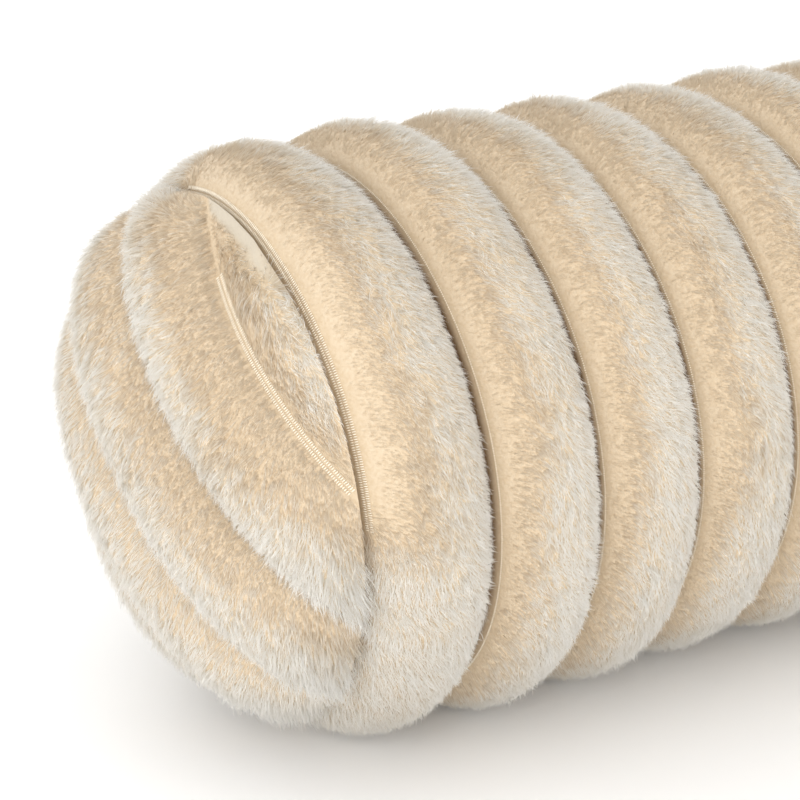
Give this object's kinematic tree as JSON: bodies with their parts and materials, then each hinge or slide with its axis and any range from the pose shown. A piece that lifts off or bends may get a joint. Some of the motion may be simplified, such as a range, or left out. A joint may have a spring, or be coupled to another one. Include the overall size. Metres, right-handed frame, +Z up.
{
  "type": "bolster cushion",
  "caption": "Filled bolster cushion of plush pile fabric: a roll with round sewn ribs and crowned, diagonally ribbed round ends, lying on its side.",
  "frame": {"origin": "on the surface the cushion lies on, under the middle of its length and width", "axes": "+X along the roll, from the end that shows to the far end; +Z up"},
  "size_m": [0.4872, 0.202, 0.199],
  "materials": {
    "roll_plush": "soft long-pile plush in warm cream, sewn in ribs",
    "end_plush": "soft long-pile plush in warm cream, sewn in diagonal ribs"
  },
  "bodies": {
    "root": {"body": "roll_plush", "end_panel_left": "end_plush", "end_panel_right": "end_plush"}
  },
  "joints": []
}
